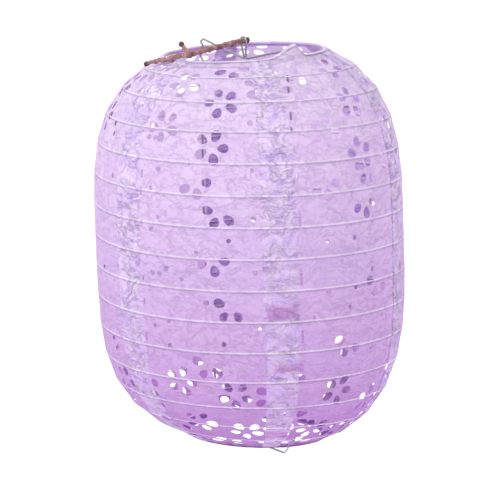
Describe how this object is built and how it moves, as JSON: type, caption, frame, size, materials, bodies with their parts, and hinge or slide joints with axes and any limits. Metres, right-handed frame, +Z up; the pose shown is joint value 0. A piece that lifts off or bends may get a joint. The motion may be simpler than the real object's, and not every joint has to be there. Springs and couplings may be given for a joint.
{
  "type": "hanging paper lantern",
  "caption": "Tall barrel-shaped hanging lantern of punched lavender paper over a spiral wire, held open by a sprung wire frame that hooks over a forked twig.",
  "frame": {"origin": "centre of the wire frame's hanging eye", "axes": "+Z up along the lantern's axis, -Y towards the front, +X to the right"},
  "size_m": [0.3006, 0.3006, 0.4058],
  "materials": {
    "lavender_paper": "thin translucent paper with punched flowers and dots",
    "hem_paper": "the same paper, folded and glued",
    "bare_wire": "bright drawn wire",
    "white_wire": "white coated wire",
    "bark": "thin brown-pink bark, knobbly"
  },
  "bodies": {
    "frame": {"expander_frame": "bare_wire", "hanging_twig": "bark"},
    "shell_base": {"bottom_ring": "white_wire", "bottom_hem": "hem_paper", "spiral_rib": "white_wire", "paper_panel_1": "lavender_paper", "paper_panel_2": "lavender_paper", "paper_panel_3": "lavender_paper", "paper_panel_4": "lavender_paper", "paper_panel_5": "lavender_paper", "paper_panel_6": "lavender_paper"},
    "shell_top": {"top_ring": "white_wire", "top_hem": "hem_paper"}
  },
  "joints": [
    {"name": "take_off", "type": "slide", "parent": "frame", "child": "shell_base", "axis": [0, 0, -1], "range_m": [0, 0.41], "deforming": ["expander_frame"]},
    {"name": "fold", "type": "slide", "parent": "shell_base", "child": "shell_top", "axis": [0, 0, -1], "range_m": [0, 0.35], "deforming": ["spiral_rib", "paper_panel_1", "paper_panel_2", "paper_panel_3", "paper_panel_4", "paper_panel_5", "paper_panel_6", "expander_frame"]}
  ]
}
